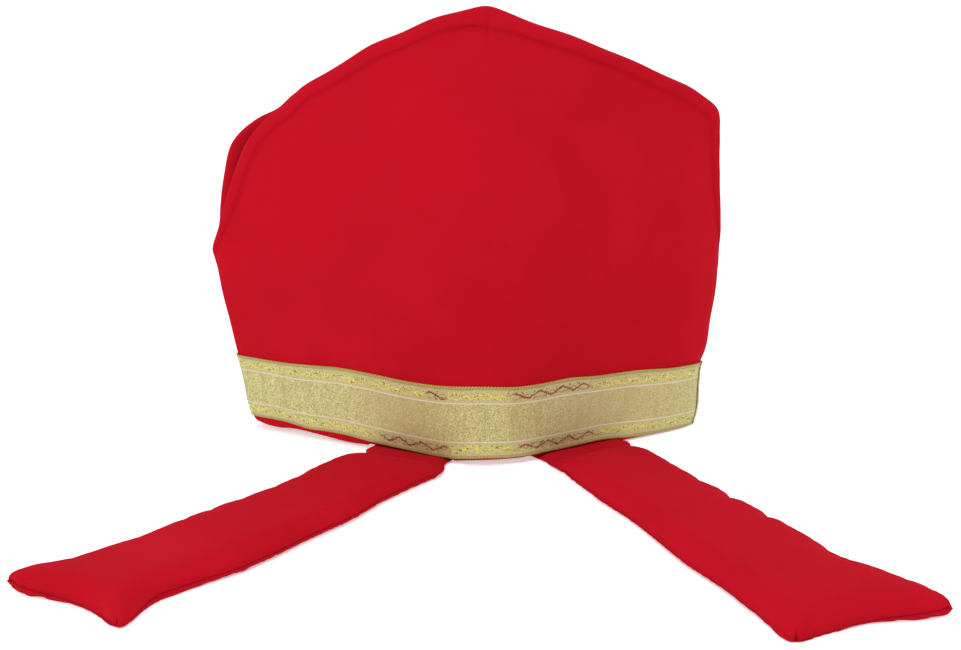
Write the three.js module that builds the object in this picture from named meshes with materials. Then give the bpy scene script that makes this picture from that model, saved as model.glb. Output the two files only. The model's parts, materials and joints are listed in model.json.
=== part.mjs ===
// A bishop's mitre of padded red cloth: a back and a front panel that meet at two side seams and
// stand open at the top, a gold ribbon round the rim, and two padded lappets that lie on the table.
// Millimetres, +Z up. The side seams lie to -X and +X, the back faces -Y, and the rim stands on
// z = 0. The pieces are drawn about the middle of the rim, and the whole is then moved so that its
// origin is under the middle of everything that lies on the table.

import * as THREE from "three";
import { mergeVertices } from "three/addons/utils/BufferGeometryUtils.js";

// Crown: plan sizes at the rim, and how far they have moved at the height named beside them.
const rimHalfWidth = 132.5; // from the middle to the corner of the side seam, before rounding
const rimDepth = 95; // from the middle to the ridge of a panel, before rounding
const seamTopHalfWidth = 149; // at seamHeight
const peakDepth = 80; // at peakHeight
const seamHeight = 101;
const peakHeight = 221;
const frontLean = 14; // above the seams the front panel leans this far to -X
const frontLeanRise = 65; // and takes this height to do so

// The shoulders: girth from the ridge to the corner, its height, and where its rounding starts.
const foldShoulderReach = 127;
const foldShoulderHeight = 181.5;
const foldShoulderRounding = 75;
const openShoulderReach = 140;
const openShoulderHeight = 180;
const openShoulderRounding = 34;

// Soft unevenness of the cloth.
const foldArchBow = 3; // the edge between the peak and the shoulder at -X bows up
const openShoulderDraw = 5; // the wall below the shoulder at +X is drawn in
const openDrawFoot = 100;
const openDrawTop = 205;

// Crown: how far from each corner its rounding starts.
const ridgeRounding = 48;
const foldedSeamRounding = 17; // the seam at -X is a fold
const openSeamRounding = 52; // the seam at +X stands round
const peakRounding = 9;

// Cloth.
const wall = 4; // two layers of cloth with thin padding
const clearance = 0.3; // between touching pieces
const rimTuck = 3; // the rim turns in by this much
const rimTuckHeight = 16;

// The roll that is stitched along a panel's free edge: rows at a distance in from the edge.
// It flattens to the wall towards the seams.
const rollWidth = 8;
const seamPinch = 0.15; // share of the way from a seam to the ridge
const rollThickness = 6.6;
const stitchedThickness = 2.6;
const rollRows = [
  { inset: 1, thickness: stitchedThickness / rollThickness },
  { inset: 0.8, thickness: 0.78 },
  { inset: 0.5, thickness: 1 },
  { inset: 0.2, thickness: 0.8 },
  { inset: 0, thickness: 0.45 },
];

// Ribbon.
const ribbonWidth = 35;
const ribbonThickness = 1;
const hemOverLappet = 0.7; // red cloth that shows between the root of a lappet and the ribbon
const hemRiseAtFold = 3; // more of it shows at the folded seam
const hemRiseReach = 120; // girth over which the rise fades

// Lappets.
const leftLappetLength = 208; // from the rim to the end, along the middle
const rightLappetLength = 222;
const lappetThickness = 7;
const lappetRootThickness = 3; // flattened where it is sewn under the rim
const lappetRootWidth = 50;
const lappetWidth = 51;
const lappetEndWidth = 63;
const lappetSeamThickness = 2;
const lappetNotch = 5; // how far the end's middle lies back from its corners
const lappetTab = 3; // reach inside the wall
const leftLappetGirth = -46; // from the ridge to the middle of the root
const rightLappetGirth = 56;
const lappetRootReach = 3; // the flattened stretch outside the ribbon
const rimRiseRounding = 12; // girth over which the rim comes down beside a lappet
const lappetSettle = 0.25; // share of the length over which a lappet leaves the rim's direction
const lappetFlare = 0.25; // share of the length, before the end, over which the notch comes in

// How each lappet lies: degrees from straight back, at its root and at its end.
const lappets = [
  {
    name: "lappet_left",
    girth: leftLappetGirth,
    length: leftLappetLength,
    rootTurn: -26,
    endTurn: -36,
  },
  {
    name: "lappet_right",
    girth: rightLappetGirth,
    length: rightLappetLength,
    rootTurn: 17.5,
    endTurn: 18.5,
  },
];

const mix = (from, to, share) => from + (to - from) * share;

// Share of the length, the named width there, how thick the padding is and how full the row is.
const lappetRows = [
  { along: 0, width: lappetRootWidth, padding: 0, fullness: 1 },
  { along: 0.05, width: lappetRootWidth, padding: 0.75, fullness: 1 },
  { along: 0.12, width: lappetWidth, padding: 1, fullness: 1 },
  { along: 0.3, width: lappetWidth, padding: 1, fullness: 1 },
  { along: 0.5, width: lappetWidth, padding: 1, fullness: 1 },
  { along: 0.7, width: lappetWidth, padding: 1, fullness: 1 },
  { along: 0.82, width: lappetWidth, padding: 1, fullness: 1 },
  { along: 0.91, width: mix(lappetWidth, lappetEndWidth, 0.35), padding: 1, fullness: 1 },
  { along: 0.965, width: mix(lappetWidth, lappetEndWidth, 0.8), padding: 1, fullness: 0.9 },
  { along: 0.99, width: lappetEndWidth, padding: 1, fullness: 0.55 },
  { along: 1, width: lappetEndWidth, padding: 1, fullness: 0 },
];

// Share of the half width, and how full the padding is there.
const lappetColumns = [
  { across: -1, fullness: 0 },
  { across: -0.94, fullness: 0.55 },
  { across: -0.8, fullness: 0.9 },
  { across: -0.45, fullness: 1 },
  { across: 0, fullness: 1 },
  { across: 0.45, fullness: 1 },
  { across: 0.8, fullness: 0.9 },
  { across: 0.94, fullness: 0.55 },
  { across: 1, fullness: 0 },
];

// Fineness of the meshes.
const panelColumns = 48;
const bodyRows = 7;
const seamSlide = 0.125; // share of the free edge, at each end, that slides onto the seam's line

const BACK = -1;
const FRONT = 1;

function smooth(share) {
  const t = THREE.MathUtils.clamp(share, 0, 1);
  return t * t * (3 - 2 * t);
}

// Rounds a corner: the shift per unit turn at a distance from it, a cubic that fades at the reach.
function rounding(distance, reach) {
  const t = 1 - Math.abs(distance) / reach;
  return t > 0 ? (reach / 6) * t ** 3 : 0;
}

// The slope of that shift along the edge.
function roundingSlope(distance, reach) {
  const t = 1 - Math.abs(distance) / reach;
  return t > 0 ? (-Math.sign(distance) * t ** 2) / 2 : 0;
}

const tuck = (z) => rimTuck * Math.max(0, 1 - z / rimTuckHeight) ** 2;
const halfWidthAt = (z) => mix(rimHalfWidth, seamTopHalfWidth, z / seamHeight) - tuck(z);
const depthAt = (z) => mix(rimDepth, peakDepth, z / peakHeight) - tuck(z);
const halfGirthAt = (z) => Math.hypot(halfWidthAt(z), depthAt(z));
const leanAt = (z) => frontLean * smooth((z - seamHeight) / frontLeanRise);

// A soft hump from 0 at both ends to 1 in the middle.
const hump = (share) => smooth(1 - Math.abs(2 * share - 1));

const drawAt = (share, z) =>
  openShoulderDraw * smooth(2 * share - 1) * hump((z - openDrawFoot) / (openDrawTop - openDrawFoot));

// The outer face at a girth from the ridge and a height: a rhombus in plan with rounded corners.
function outline(girth, z, side) {
  const full = halfGirthAt(z);
  const share = THREE.MathUtils.clamp(girth / full, -1, 1);
  const width = halfWidthAt(z);
  const depth = depthAt(z);
  const ridge = rounding(share, ridgeRounding / full);
  const fold = rounding(share + 1, foldedSeamRounding / full);
  const open = rounding(share - 1, openSeamRounding / full);
  const x = width * (share + 2 * fold - 2 * open);
  const y = side * depth * (1 - Math.abs(share) - 2 * ridge);
  const lean = side === FRONT ? leanAt(z) : 0;
  return new THREE.Vector3(x - lean - drawAt(share, z), y + (side * clearance) / 2, z);
}

// The level direction that points out of the crown at a place on the outer face.
function outward(girth, z, side) {
  const full = halfGirthAt(z);
  const step = full / 500;
  if (full - Math.abs(girth) < step / 100) return new THREE.Vector3(Math.sign(girth), 0, 0);
  const before = outline(Math.max(girth - step, -full), z, side);
  const after = outline(Math.min(girth + step, full), z, side);
  const run = after.sub(before);
  return new THREE.Vector3(-side * run.y, side * run.x, 0).normalize();
}

const fullSeamGirth = halfGirthAt(seamHeight);

// The corners of a panel's free edge, from the top of one seam over the peak to the other.
const edgeCorners = [
  { girth: -fullSeamGirth, height: seamHeight, reach: 0 },
  { girth: -foldShoulderReach, height: foldShoulderHeight, reach: foldShoulderRounding },
  { girth: 0, height: peakHeight, reach: peakRounding },
  { girth: openShoulderReach, height: openShoulderHeight, reach: openShoulderRounding },
  { girth: fullSeamGirth, height: seamHeight, reach: 0 },
];

const edgeLines = edgeCorners.slice(1).map((end, i) => {
  const start = new THREE.Vector2(edgeCorners[i].girth, edgeCorners[i].height);
  const line = new THREE.Vector2(end.girth, end.height).sub(start);
  return { start, length: line.length(), along: line.clone().normalize() };
});
const edgeLength = edgeLines.reduce((sum, line) => sum + line.length, 0);

// A place on the free edge, from share 0 to 1 of its length, moved in by an inset.
// Near a seam the place slides along the edge, so that the last one is on the seam's line.
function freeEdge(share, inset) {
  const distance = share * edgeLength;
  let passed = 0;
  let i = 0;
  while (i < edgeLines.length - 1 && distance > passed + edgeLines[i].length) {
    passed += edgeLines[i].length;
    i += 1;
  }
  const place = edgeLines[i].start.clone().addScaledVector(edgeLines[i].along, distance - passed);
  const along = edgeLines[i].along.clone();
  let cornerAt = 0;
  for (let corner = 1; corner < edgeLines.length; corner += 1) {
    cornerAt += edgeLines[corner - 1].length;
    const turn = edgeLines[corner].along.clone().sub(edgeLines[corner - 1].along);
    const away = distance - cornerAt;
    place.addScaledVector(turn, rounding(away, edgeCorners[corner].reach));
    along.addScaledVector(turn, roundingSlope(away, edgeCorners[corner].reach));
  }
  along.normalize();
  const bowed = (distance - edgeLines[0].length) / edgeLines[1].length;
  place.y += foldArchBow * hump(bowed);
  const inward = new THREE.Vector2(along.y, -along.x);
  place.addScaledVector(inward, inset);
  const end = share < 0.5 ? -1 : 1;
  const nearness = 1 - (0.5 - Math.abs(share - 0.5)) / seamSlide;
  const seamLean = (seamTopHalfWidth - rimHalfWidth) / seamHeight;
  const seam = new THREE.Vector2(-end * seamLean, -1).normalize();
  const ahead = along.dot(seam) / inward.dot(seam);
  place.addScaledVector(along, ahead * inset * smooth(nearness));
  if (nearness >= 1) place.x = end * halfGirthAt(place.y);
  return place;
}

const rootHeadroom = lappetRootThickness + clearance;

// How far the back panel's rim stands up over the roots of the lappets.
function rimRise(girth, side) {
  if (side === FRONT) return 0;
  const rises = lappets.map((lappet) => {
    const beside = Math.abs(girth - lappet.girth) - lappetRootWidth / 2 - rimRiseRounding / 2;
    return 1 - smooth(beside / rimRiseRounding);
  });
  return rootHeadroom * Math.max(...rises);
}

// The height of the ribbon's lower edge.
function hemAt(girth) {
  const fromFold = girth + halfGirthAt(0);
  return rootHeadroom + hemOverLappet + hemRiseAtFold * smooth(1 - fromFold / hemRiseReach);
}

// The rows of a panel from the rim up. Each gives its place at a share of the girth.
const panelRows = [
  { level: (girth, side) => rimRise(girth, side), thickness: wall },
  { level: (girth) => hemAt(girth), thickness: wall },
  { level: (girth) => hemAt(girth) + ribbonWidth, thickness: wall },
];
for (let row = 1; row < bodyRows; row += 1) {
  panelRows.push({ climb: row / bodyRows, thickness: wall });
}
for (const row of rollRows) {
  panelRows.push({ inset: row.inset * rollWidth, thickness: row.thickness * rollThickness });
}

// The place of a row at a share from -1 to 1, as girth and height.
function panelPlace(share, row, side) {
  if (row.inset !== undefined) return freeEdge((share + 1) / 2, row.inset);
  const foot = new THREE.Vector2(share * halfGirthAt(0), 0);
  const head = freeEdge((share + 1) / 2, rollWidth);
  const level = (height) => foot.clone().lerp(head, height / head.y);
  if (row.level) return settle(level(row.level(foot.x, side)), share);
  const ribbonTop = level(hemAt(foot.x) + ribbonWidth);
  return settle(ribbonTop.lerp(head, row.climb), share);
}

// Keeps the ends of a row on the seam's line, which bends where the rim turns in.
function settle(place, share) {
  const straight = mix(halfGirthAt(0), fullSeamGirth, place.y / seamHeight);
  place.x *= mix(1, halfGirthAt(place.y) / straight, Math.abs(share));
  if (Math.abs(share) === 1) place.x = share * halfGirthAt(place.y);
  return place;
}

// Bends a finely divided block into another closed shape. The bend gets whole column and row
// numbers, and the layer, 0 or 1.
function bentBlock(columns, rows, bend) {
  const block = new THREE.BoxGeometry(columns, rows, 1, columns, rows, 1);
  block.deleteAttribute("normal");
  block.deleteAttribute("uv");
  const shape = mergeVertices(block);
  const places = shape.getAttribute("position");
  for (let i = 0; i < places.count; i += 1) {
    const column = Math.round(places.getX(i) + columns / 2);
    const row = Math.round(places.getY(i) + rows / 2);
    const layer = Math.round(places.getZ(i) + 0.5);
    const place = bend(column, row, layer);
    places.setXYZ(i, place.x, place.y, place.z);
  }
  shape.computeVertexNormals();
  return shape;
}

function panelGeometry(side) {
  return bentBlock(panelColumns, panelRows.length - 1, (column, rowNumber, layer) => {
    const share = -side * (2 * (column / panelColumns) - 1);
    const row = panelRows[rowNumber];
    const place = panelPlace(share, row, side);
    const swell = ((row.thickness - wall) / 2) * smooth((1 - Math.abs(share)) / seamPinch);
    const out = layer === 1 ? swell : -wall - swell;
    const at = outline(place.x, place.y, side);
    return at.addScaledVector(outward(place.x, place.y, side), out);
  });
}

// The ribbon is a ring with a rectangular section, wrapped round both panels. The ring is first
// drawn with radii and heights of whole numbers, which then name its inner, outer, lower and upper
// edges.
function ribbonGeometry() {
  const steps = 2 * panelColumns;
  const profile = [
    new THREE.Vector2(1, 0),
    new THREE.Vector2(2, 0),
    new THREE.Vector2(2, 1),
    new THREE.Vector2(1, 1),
    new THREE.Vector2(1, 0),
  ];
  const ring = new THREE.LatheGeometry(profile, steps);
  ring.deleteAttribute("normal");
  ring.deleteAttribute("uv");
  const shape = mergeVertices(ring);
  const places = shape.getAttribute("position");
  for (let i = 0; i < places.count; i += 1) {
    const angle = Math.atan2(places.getX(i), places.getZ(i));
    const step = (Math.round((angle / (2 * Math.PI)) * steps) + steps) % steps;
    const outer = Math.hypot(places.getX(i), places.getZ(i)) > 1.5;
    const top = places.getY(i) > 0.5;
    const place = ribbonPlace(step, outer, top);
    places.setXYZ(i, place.x, place.y, place.z);
  }
  shape.computeVertexNormals();
  return shape;
}

// Steps go from the back ridge to +X, over the front to -X, and home.
function ribbonPlace(step, outer, top) {
  const half = panelColumns / 2;
  const turns = step / half;
  const onFront = turns > 1 && turns < 3;
  const side = onFront ? FRONT : BACK;
  const share = onFront ? 2 - turns : turns >= 3 ? turns - 4 : turns;
  const place = panelPlace(share, panelRows[top ? 2 : 1], side);
  const at = outline(place.x, place.y, side);
  if (Math.abs(share) === 1) at.y = 0;
  const out = clearance + (outer ? ribbonThickness : 0);
  return at.addScaledVector(outward(place.x, place.y, side), out);
}

// The direction at a turn from straight back.
const heading = (turn) => new THREE.Vector3(Math.sin(turn), -Math.cos(turn), 0);

// The middle line of a lappet is an arc: its place at a share of its length, from the root.
function lappetMiddle(root, lappet, along) {
  const first = THREE.MathUtils.degToRad(lappet.rootTurn);
  const last = THREE.MathUtils.degToRad(lappet.endTurn);
  const turn = mix(first, last, along);
  const radius = lappet.length / (last - first);
  const place = new THREE.Vector3(
    radius * (Math.cos(first) - Math.cos(turn)),
    radius * (Math.sin(first) - Math.sin(turn)),
    0,
  ).add(root);
  return { place, ahead: heading(turn), aside: heading(turn + Math.PI / 2) };
}

// A lappet: rows run from the tab inside the rim to the end with its two flared corners.
function lappetGeometry(lappet) {
  const rimAt = (girth, out) => {
    const at = outline(girth, 0, BACK).addScaledVector(outward(girth, 0, BACK), out);
    return at.setZ(0);
  };
  const rootOut = clearance + ribbonThickness + rimTuck + lappetRootReach;
  const root = rimAt(lappet.girth, rootOut);
  const start = lappetMiddle(root, lappet, 0);
  const rows = lappetRows.length;
  const columns = lappetColumns.length - 1;
  return bentBlock(columns, rows, (column, rowNumber, layer) => {
    const across = -lappetColumns[column].across;
    const row = lappetRows[Math.max(0, rowNumber - 1)];
    const girth = lappet.girth + (across * lappetRootWidth) / 2;
    const fullness = lappetColumns[column].fullness * row.fullness;
    const padded = mix(lappetRootThickness, lappetThickness, row.padding);
    const tall = mix(lappetSeamThickness, padded, fullness);
    const z = layer === 1 ? (padded + tall) / 2 : (padded - tall) / 2;
    if (rowNumber === 0) return rimAt(girth, -wall - lappetTab).setZ(z);
    const { place, ahead, aside } = lappetMiddle(root, lappet, row.along);
    place.addScaledVector(aside, (across * row.width) / 2);
    const slant = rimAt(girth, rootOut).sub(root);
    slant.addScaledVector(start.aside, (-across * lappetRootWidth) / 2);
    place.addScaledVector(slant, 1 - smooth(row.along / lappetSettle));
    const notched = smooth(1 - (1 - row.along) / lappetFlare);
    place.addScaledVector(ahead, -lappetNotch * (1 - across ** 2) * notched);
    return place.setZ(z);
  });
}

function named(name, geometry, material) {
  const mesh = new THREE.Mesh(geometry, material);
  mesh.name = name;
  return mesh;
}

const redCloth = new THREE.MeshStandardMaterial({ color: 0xbd1524, roughness: 0.85, metalness: 0 });
const goldRibbon = new THREE.MeshStandardMaterial({ color: 0xc4b781, roughness: 0.45, metalness: 0.4 });

const mitre = new THREE.Group();
mitre.add(named("back_panel", panelGeometry(BACK), redCloth));
mitre.add(named("front_panel", panelGeometry(FRONT), redCloth));
mitre.add(named("ribbon", ribbonGeometry(), goldRibbon));
for (const lappet of lappets) mitre.add(named(lappet.name, lappetGeometry(lappet), redCloth));

const extent = new THREE.Box3().setFromObject(mitre);
const middle = extent.getCenter(new THREE.Vector3());
mitre.position.set(-middle.x, -middle.y, -extent.min.z);

export default mitre;
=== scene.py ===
# %% [markdown]
# # A bishop's mitre
#
# The object is a tall folding cap of red cloth: two stiffly padded panels that meet at the side
# seams and stand open at the top, a gold ribbon round the rim, and two padded lappets that lie
# spread on the table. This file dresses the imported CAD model: every CAD solid stays the measure
# of where things are, and each one gets a finely modelled piece in its place.
#
# The order is a photographer's: the model's place, the camera, the light, then the pieces, and
# their finishes last.

import json
import math

import bpy
import numpy as np
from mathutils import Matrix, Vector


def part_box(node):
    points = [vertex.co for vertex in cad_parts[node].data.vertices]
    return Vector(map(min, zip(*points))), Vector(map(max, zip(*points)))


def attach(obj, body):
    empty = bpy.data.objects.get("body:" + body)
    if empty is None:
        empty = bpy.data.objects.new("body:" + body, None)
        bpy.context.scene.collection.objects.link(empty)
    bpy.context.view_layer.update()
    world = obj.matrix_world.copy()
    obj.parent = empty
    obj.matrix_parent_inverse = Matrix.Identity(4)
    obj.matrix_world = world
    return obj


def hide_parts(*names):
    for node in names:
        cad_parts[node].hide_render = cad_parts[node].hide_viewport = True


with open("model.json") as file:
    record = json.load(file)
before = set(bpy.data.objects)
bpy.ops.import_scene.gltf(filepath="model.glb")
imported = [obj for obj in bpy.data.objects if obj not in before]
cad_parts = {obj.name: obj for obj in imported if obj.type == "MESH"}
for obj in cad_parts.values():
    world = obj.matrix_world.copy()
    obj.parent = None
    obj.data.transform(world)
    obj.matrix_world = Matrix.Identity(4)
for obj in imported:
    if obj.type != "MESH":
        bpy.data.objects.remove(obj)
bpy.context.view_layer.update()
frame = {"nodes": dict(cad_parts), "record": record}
print("CAD nodes:", ", ".join(sorted(frame["nodes"])))

# %% [markdown]
# ## Where the crown stands
#
# The pieces are easiest to work out about the middle of the crown's rim, in millimetres, with
# the folded seam to -X and the back, which the lappets hang from, to -Y. The way back to the
# shared frame: the rim's mount has the crown's X, and the back panel ends at the side seams.

# %% The crown's middle in the shared frame
MILLIMETRE = 0.001
seam_gap = 0.04
rim_mount = next(m for m in frame["record"]["mounts"] if m["name"] == "rim")
back_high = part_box("back_panel")[1]
crown_middle = np.array([rim_mount["pos_m"][0], back_high.y + seam_gap / 2 * MILLIMETRE, 0.0])
print("crown's middle (m):", crown_middle.round(4))


def in_frame(places):
    """Crown millimetres to the shared frame's metres: scale, then add the crown's middle."""
    return places * MILLIMETRE + crown_middle


# %% [markdown]
# ## The camera
#
# A camera is matched to a photograph by its distance first, because distance alone sets the
# perspective; the focal length then only crops. The rim's ellipse and the spread of the lappets
# gave a camera 0.6 m from the crown, a little above its middle, tipped down by nine degrees.

# %% Camera
picture_width, picture_height = 961, 650
focal_pixels = 1100
camera_data = bpy.data.cameras.new("Camera")
camera_data.sensor_fit = "HORIZONTAL"
camera_data.sensor_width = 36
camera_data.lens = focal_pixels / picture_width * camera_data.sensor_width
camera_data.clip_start = 0.01
camera_data.clip_end = 60
camera = bpy.data.objects.new("Camera", camera_data)
camera.location = (-0.0065, -0.5063, 0.1540)
camera.rotation_euler = (math.pi / 2 - 0.1592, 0, -0.0319)
bpy.context.scene.collection.objects.link(camera)
bpy.context.scene.camera = camera
print(f"camera: {camera_data.lens:.1f} mm lens")

# %% [markdown]
# ## Floor and light
#
# The mitre stands on a white table in very even light, a little stronger from the upper left.
# A bright sky does most of that, and makes the white floor run into the background without an
# edge. Two large soft lamps shade the form. The plain view transform keeps a strong red strong.

# %% Floor, sky and lamps
floor_reach = 30
floor_mesh = bpy.data.meshes.new("Floor")
floor_mesh.from_pydata(
    [(x * floor_reach, y * floor_reach, 0) for x, y in ((-1, -1), (1, -1), (1, 1), (-1, 1))],
    [],
    [(0, 1, 2, 3)],
)
floor = bpy.data.objects.new("Floor", floor_mesh)
bpy.context.scene.collection.objects.link(floor)

sky = bpy.data.worlds.new("Sky")
sky.use_nodes = True
sky.node_tree.nodes["Background"].inputs["Color"].default_value = (1, 1, 1, 1)
sky.node_tree.nodes["Background"].inputs["Strength"].default_value = 1.14
bpy.context.scene.world = sky
bpy.context.scene.view_settings.view_transform = "Standard"


def soft_lamp(name, place, target, size, power):
    """A square area lamp of that size in metres, turned so that its face looks at target."""
    data = bpy.data.lights.new(name, "AREA")
    data.size = size
    data.energy = power
    lamp = bpy.data.objects.new(name, data)
    lamp.location = place
    way = np.subtract(target, place)
    lamp.rotation_euler = (
        math.acos(-way[2] / np.linalg.norm(way)),
        0,
        math.atan2(way[1], way[0]) - math.pi / 2,
    )
    bpy.context.scene.collection.objects.link(lamp)


crown_front = (0.0, 0.0, 0.1)
soft_lamp("Key_lamp", (-1.3, -1.5, 1.5), crown_front, 1.2, 13.2)
soft_lamp("Top_lamp", (0.2, 0.3, 2.2), crown_front, 1.4, 8)
print("light: even sky and two soft lamps")

# %% [markdown]
# ## From a function to a mesh
#
# Every piece here is a padded sheet: two layers of cloth that part in the middle and meet in one
# line all round. So one helper makes every mesh: it joins an upper and a lower grid of places
# along their shared border into one closed skin. Whole arrays go in at once, which is far
# quicker than adding points one by one.


# %% Closed skins from two layers
def grid_faces(numbers):
    """Four corners per face from a grid of vertex numbers: each cell's corners in order."""
    corners = [numbers[:-1, :-1], numbers[:-1, 1:], numbers[1:, 1:], numbers[1:, :-1]]
    return np.stack(corners, axis=-1).reshape(-1, 4)


def closed_skin(name, upper, lower, patterns=None, values=None):
    """A closed mesh of two grids (rows, columns, 3), in crown millimetres, with a shared rim.

    The lower layer takes its rim from the upper one. patterns are UV maps as grids of two
    numbers, and values are point attributes as grids of one number, the same on both layers.
    Faces are turned outwards by the sign of the enclosed volume.
    """
    rows, columns = upper.shape[:2]
    above = np.arange(rows * columns).reshape(rows, columns)
    below = above.copy()
    inner_count = (rows - 2) * (columns - 2)
    below[1:-1, 1:-1] = rows * columns + np.arange(inner_count).reshape(rows - 2, columns - 2)
    inside = (slice(1, -1), slice(1, -1))

    def stacked(top, bottom):
        width = top.shape[2]
        return np.concatenate([top.reshape(-1, width), bottom[inside].reshape(-1, width)])

    places = in_frame(stacked(upper, lower))
    faces = np.concatenate([grid_faces(above), grid_faces(below)[:, ::-1]])
    first, second, third, fourth = (places[faces[:, i]] for i in range(4))
    volume = np.einsum("ij,ij->i", first, np.cross(second, third)).sum()
    volume += np.einsum("ij,ij->i", first, np.cross(third, fourth)).sum()
    if volume < 0:
        faces = faces[:, ::-1]
    mesh = bpy.data.meshes.new(name)
    mesh.vertices.add(len(places))
    mesh.vertices.foreach_set("co", places.astype(np.float32).ravel())
    mesh.loops.add(faces.size)
    mesh.loops.foreach_set("vertex_index", faces.astype(np.int32).ravel())
    mesh.polygons.add(len(faces))
    mesh.polygons.foreach_set("loop_start", np.arange(0, faces.size, 4, dtype=np.int32))
    mesh.update(calc_edges=True)
    mesh.shade_smooth()
    for title, grid in (patterns or {}).items():
        each = stacked(grid, grid)[faces.ravel()]
        layer = mesh.uv_layers.new(name=title)
        layer.data.foreach_set("uv", each.astype(np.float32).ravel())
    for title, grid in (values or {}).items():
        each = stacked(grid[..., None], grid[..., None])
        layer = mesh.attributes.new(title, "FLOAT", "POINT")
        layer.data.foreach_set("value", each.astype(np.float32).ravel())
    mesh.validate()
    piece = bpy.data.objects.new(name, mesh)
    bpy.context.scene.collection.objects.link(piece)
    print(f"{name}: {len(faces)} faces, {abs(volume) / 6 * 1e6:.0f} cubic centimetres")
    return piece


def mix(start, end, share):
    """A straight blend: start at share 0 and end at share 1."""
    return start + (end - start) * share


def smooth(share):
    """An S curve, three times the square less twice the cube, flat below 0 and above 1."""
    t = np.clip(share, 0, 1)
    return t * t * (3 - 2 * t)


def round_over(distance, reach):
    """A quarter of an ellipse: 0 at distance 0, rising steeply, and 1 from reach on."""
    t = np.clip(distance / reach, 0, 1)
    return np.sqrt(1 - (1 - t) ** 2)


def bell(distance, width):
    """A soft bump of height 1 about distance 0: e to the minus square of distance by width."""
    return np.exp(-((distance / width) ** 2))


def table(places, heights, at):
    """A smooth curve through a few named points, by a cubic with even slopes at each point."""
    places, heights = np.asarray(places, float), np.asarray(heights, float)
    slopes = np.gradient(heights, places)
    at = np.clip(at, places[0], places[-1])
    i = np.clip(np.searchsorted(places, at, side="right") - 1, 0, len(places) - 2)
    run = places[i + 1] - places[i]
    t = (at - places[i]) / run
    rise = heights[i + 1] - heights[i]
    bend = slopes[i] * run * t * (1 - t) ** 2 - slopes[i + 1] * run * t**2 * (1 - t)
    return heights[i] + rise * smooth(t) + bend


# %% [markdown]
# ## The crown's form
#
# Seen from above, the crown is a rhombus with rounded corners: a sharp fold at the side seam to
# -X, a round one at +X, and a soft ridge down the middle of each panel. The cloth leans in
# towards the peak and turns in a little at the rim. One function gives the place of the outer
# face at a girth, measured round the crown from the ridge, and a height. The roll, the ribbon
# and the hem are all placed by it, and so they fit.

# %% Sizes of the crown, in millimetres
BACK, FRONT = -1, 1
rim_half_width = 132.5
rim_depth = 95
seam_top_half_width = 149
peak_depth = 80
seam_height = 101
peak_height = 221
front_lean = 15
front_lean_rise = 65
ridge_rounding = 48
fold_rounding = 17
open_rounding = 52
rim_tuck = 3
rim_tuck_height = 16
flare_girth = 78
flare_width = 40
seam_turn_reach = 2.0
# Half a panel's girth as a round number, for steps and distances along the cloth.
half_panel = 163
# How far the cloth lies inside the straight line of each seam, by height.
draw_heights = (0, 5, 10, 17, 25, 34, 42, 60, 75, 92, 100, 108, 117, 125, 133, 141, 150, 158)
draw_heights += (166, 174, 184, 205)
open_draws = (-4.2, -3.6, -2.6, -1.1, 0.2, 0.8, -1.1, -1.3, -1.6, 0, 1.1, 1.9, 3.4, 4.5, 5.2)
open_draws += (5.3, 5.2, 4.4, 3.2, 1.0, 0.5, 0)
fold_draws = (0, 0, 0, 0, 0, -0.4, -1.1, -1.9, -2.7, -2.7, -3.3, -0.8, 1.0, 1.9, 1.7, 1.2)
fold_draws += (0.9, 0.6, 0.2, 0, 0, 0)


# %% The outer face of the crown
def rounding(distance, reach):
    """How far a corner is cut, per unit turn: a sixth of reach times a fading cubic."""
    return reach / 6 * np.maximum(1 - np.abs(distance) / reach, 0) ** 3


def rounding_slope(distance, reach):
    """The slope of rounding along the edge."""
    return -np.sign(distance) * np.maximum(1 - np.abs(distance) / reach, 0) ** 2 / 2


def tuck(height):
    """How far the cloth turns in at the rim: a square that fades with height."""
    return rim_tuck * np.maximum(1 - height / rim_tuck_height, 0) ** 2


def half_width(height):
    """From the middle to the side seam's corner."""
    return mix(rim_half_width, seam_top_half_width, height / seam_height) - tuck(height)


def depth(height):
    """From the middle to the ridge's corner."""
    return mix(rim_depth, peak_depth, height / peak_height) - tuck(height)


def half_girth(height):
    """From the ridge's corner to the seam's corner, straight."""
    return np.hypot(half_width(height), depth(height))


def hump(share):
    """0 at shares 0 and 1, with a smooth rise to 1 in the middle."""
    return smooth(1 - np.abs(2 * share - 1))


def flare(girth, height, side):
    """How far the back's rim hangs out again beside the right lappet: part of the tuck."""
    return tuck(height) * bell(girth - flare_girth, flare_width) * (side == BACK)


def outline(girth, height, side):
    """The outer face: a rhombus in plan, each corner moved in by its rounding.

    X is the half width times the share of the girth, moved in at the seams; Y is the depth
    times what is left of the share, moved in at the ridge. The front panel leans to -X above
    the seams, and towards each seam the cloth is drawn in or out as the tables say. Beside
    the right lappet the flare is added.
    """
    full = half_girth(height)
    share = np.clip(girth / full, -1, 1)
    ridge = rounding(share, ridge_rounding / full)
    fold = rounding(share + 1, fold_rounding / full)
    opened = rounding(share - 1, open_rounding / full)
    x = half_width(height) * (share + 2 * fold - 2 * opened)
    y = side * depth(height) * (1 - np.abs(share) - 2 * ridge) + side * seam_gap / 2
    if side == FRONT:
        x = x - front_lean * smooth((height - seam_height) / front_lean_rise)
    x = x - table(draw_heights, open_draws, height) * smooth(2 * share - 1)
    x = x + table(draw_heights, fold_draws, height) * smooth(-2.5 * share - 1.5)
    y = y + side * flare(girth, height, side)
    return np.stack([x, y, height + 0 * x], axis=-1)


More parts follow.
